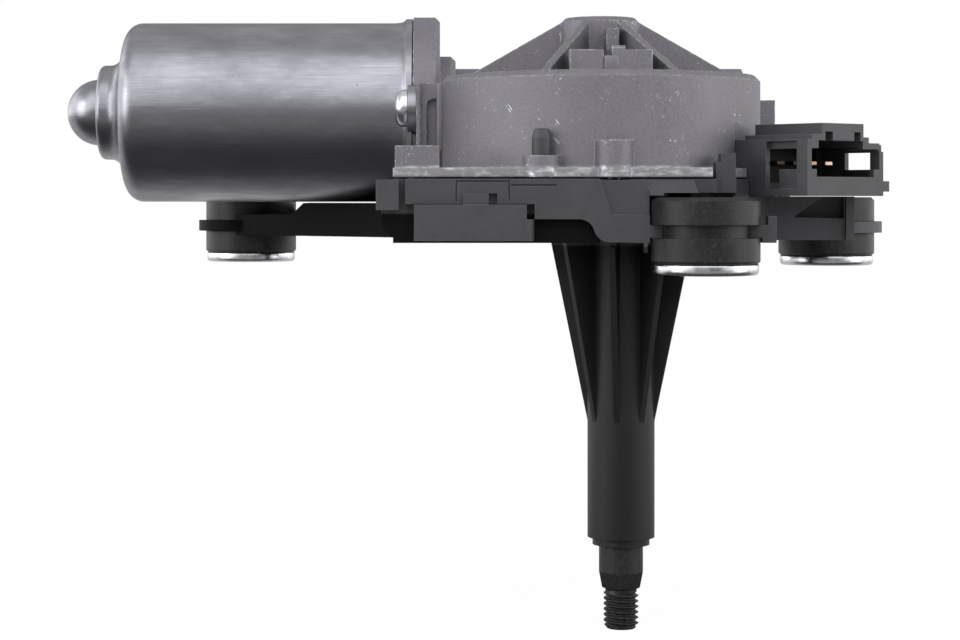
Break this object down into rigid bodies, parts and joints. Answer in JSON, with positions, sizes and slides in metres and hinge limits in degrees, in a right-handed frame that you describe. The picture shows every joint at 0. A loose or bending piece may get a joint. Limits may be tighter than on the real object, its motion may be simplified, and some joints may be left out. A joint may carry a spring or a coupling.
{
  "type": "rear wiper motor",
  "caption": "Rear wiper motor: can motor on a cast gear housing, moulded carrier with rubber mounts, ribbed tower, swinging threaded spindle and plug inlet.",
  "frame": {"origin": "on the spindle axis, in the plane of the three sleeve faces that bear on the panel", "axes": "+Z away from the panel along the spindle axis, so the spindle's thread points along -Z; +X along the motor towards the plug end, the can lies at -X; +Y from the front mount to the motor axis"},
  "size_m": [0.2057, 0.1322, 0.1441],
  "materials": {
    "diecast": "die-cast, blasted, bare",
    "drawn_steel": "drawn sheet steel, zinc plated",
    "zinc_steel": "bright zinc",
    "black_steel": "blackened",
    "polyamide": "moulded, glass filled, satin",
    "rubber": "moulded",
    "brass": "tinned",
    "bronze": "sintered, oiled",
    "copper": "enamelled wire",
    "ferrite": "pressed and fired",
    "lamination": "stamped sheet",
    "shaft_steel": "ground",
    "acetal": "moulded",
    "carbon": "pressed",
    "gasket": "cut sheet"
  },
  "bodies": {
    "housing": {"upper_bush": "bronze", "lower_bush": "bronze", "shaft_seal": "rubber", "thrust_washer": "zinc_steel", "wheel_axle": "shaft_steel", "wheel_clip": "black_steel", "front_bearing": "bronze", "end_bearing": "bronze", "rear_bearing": "bronze", "bearing_retainer": "zinc_steel", "thrust_ball": "shaft_steel", "thrust_screw": "zinc_steel", "motor_can": "drawn_steel", "can_screws": "zinc_steel", "magnet_upper": "ferrite", "magnet_lower": "ferrite", "brush_plate": "polyamide", "brush_holders": "brass", "brushes": "carbon", "brush_springs": "zinc_steel", "chokes": "copper", "gear_housing": "diecast", "housing_gasket": "gasket", "carrier_screws": "zinc_steel", "base_carrier": "polyamide", "locating_pin": "polyamide", "vent_cover": "polyamide", "park_contacts": "brass", "connector_housing": "polyamide", "connector_terminals": "brass", "grommet_front": "rubber", "sleeve_front": "zinc_steel", "grommet_right": "rubber", "sleeve_right": "zinc_steel", "grommet_left": "rubber", "sleeve_left": "zinc_steel"},
    "armature": {"armature_shaft": "shaft_steel", "lamination_stack": "lamination", "windings": "copper", "commutator": "copper"},
    "wheel": {"worm_wheel": "acetal", "crank_pin": "shaft_steel", "contact_ring": "brass"},
    "output": {"spindle": "black_steel", "pinion": "shaft_steel", "spindle_clip": "black_steel"},
    "rocker": {"rocker_plate": "shaft_steel", "pivot_pin": "shaft_steel"},
    "sector": {"toothed_sector": "shaft_steel"}
  },
  "joints": [
    {"name": "armature_spin", "type": "hinge", "parent": "housing", "child": "armature", "pos_m": [-0.08, 0.05, 0.0384], "axis": [1, 0, 0], "continuous": true},
    {"name": "wheel_spin", "type": "hinge", "parent": "housing", "child": "wheel", "pos_m": [-0.0034, 0.02, 0.0384], "axis": [0, 0, 1], "continuous": true},
    {"name": "spindle_swing", "type": "hinge", "parent": "housing", "child": "output", "pos_m": [0, 0, 0], "axis": [0, 0, 1], "range_deg": [0, 114]},
    {"name": "rocker_swing", "type": "hinge", "parent": "housing", "child": "rocker", "pos_m": [0, 0, 0.0237], "axis": [0, 0, 1], "range_deg": [0, 63]},
    {"name": "sector_swing", "type": "hinge", "parent": "rocker", "child": "sector", "pos_m": [0.01493, -0.00143, 0.0274], "axis": [0, 0, 1], "range_deg": [-46, 0]}
  ],
  "couplings": [
    {"joint": "wheel_spin", "follows": "armature_spin", "ratio": 0.019608},
    {"joint": "rocker_swing", "follows": "spindle_swing", "ratio": 0.545},
    {"joint": "sector_swing", "follows": "spindle_swing", "ratio": -0.39813}
  ]
}
